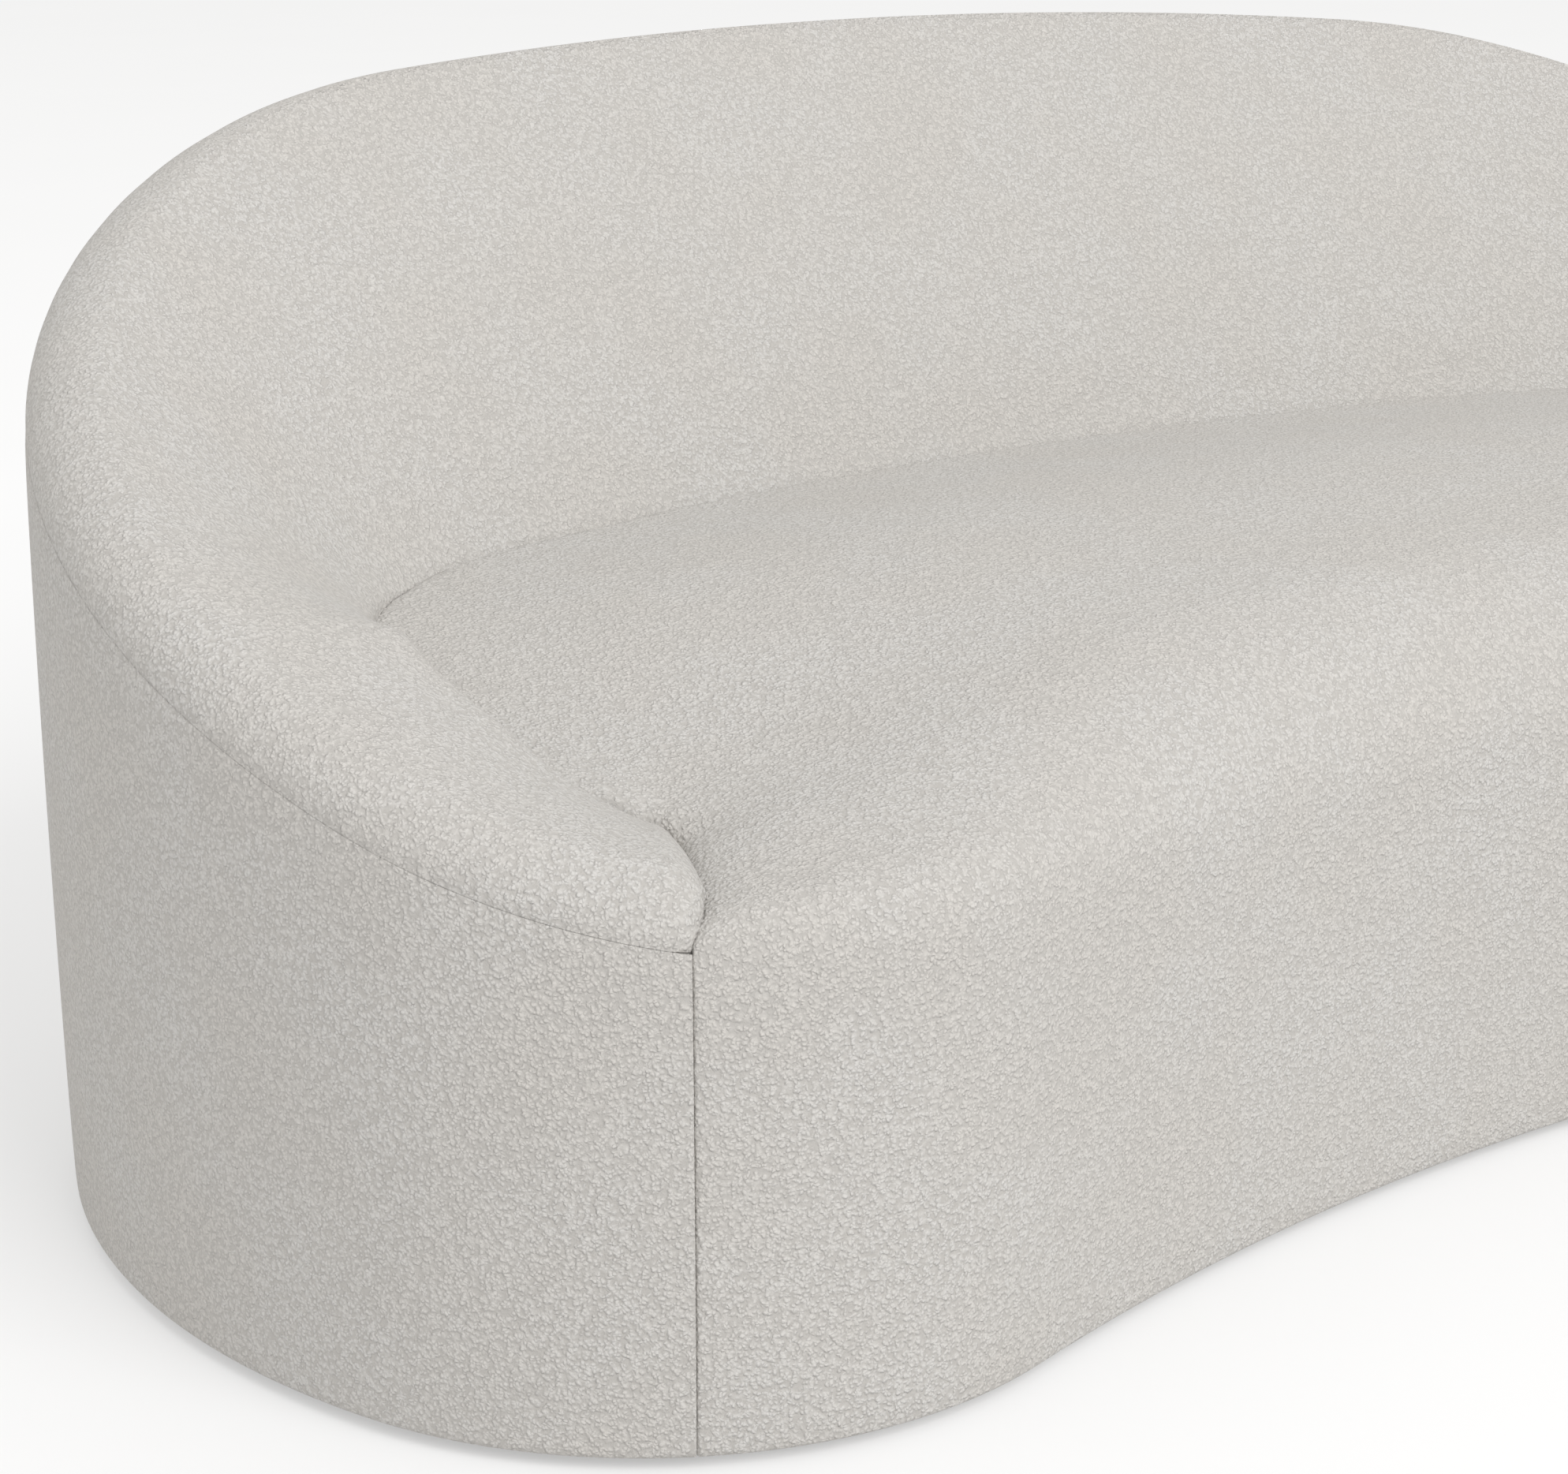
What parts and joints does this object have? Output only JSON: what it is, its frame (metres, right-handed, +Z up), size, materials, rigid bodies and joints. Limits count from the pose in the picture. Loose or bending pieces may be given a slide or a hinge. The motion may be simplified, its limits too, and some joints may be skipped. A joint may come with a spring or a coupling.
{
  "type": "curved upholstered sofa",
  "caption": "Kidney-shaped fully upholstered sofa with a raked wraparound back, sloping arms and a hollow front, on low hidden wooden feet.",
  "frame": {"origin": "on the floor under the middle of the sofa's bounding box", "axes": "+Z up, the sitter faces -Y, +X along the width, to the right seen from the front"},
  "size_m": [1.9994, 1.0498, 0.78],
  "materials": {
    "plywood": "sanded birch plywood",
    "hardwood": "oiled beech",
    "fasteners": "zinc plated steel",
    "felt": "dense felt",
    "fibreboard": "thin bending board",
    "wadding": "polyester wadding",
    "webbing": "elastic webbing",
    "hessian": "hessian",
    "foam": "upholstery foam",
    "boucle": "off-white nubbly boucle weave",
    "dust_cloth": "black non-woven cloth"
  },
  "bodies": {
    "root": {"base_ring": "plywood", "base_cross_rails": "plywood", "feet": "hardwood", "foot_glides": "felt", "foot_screws": "fasteners", "lower_posts": "hardwood", "front_apron": "plywood", "seat_deck": "plywood", "deck_screws": "fasteners", "seat_bearers": "hardwood", "back_ribs": "plywood", "left_arm_ribs": "plywood", "right_arm_ribs": "plywood", "rib_brackets": "fasteners", "top_rail": "hardwood", "tack_strip": "fibreboard", "outer_board": "fibreboard", "outer_wadding": "wadding", "outer_cover": "boucle", "front_wadding": "wadding", "webbing_long": "webbing", "webbing_cross": "webbing", "seat_hessian": "hessian", "seat_foam_core": "foam", "seat_foam_topper": "foam", "seat_cover": "boucle", "front_cover": "boucle", "back_hessian": "hessian", "back_foam": "foam", "left_arm_foam": "foam", "right_arm_foam": "foam", "back_cover": "boucle", "dust_cover": "dust_cloth"}
  },
  "joints": []
}
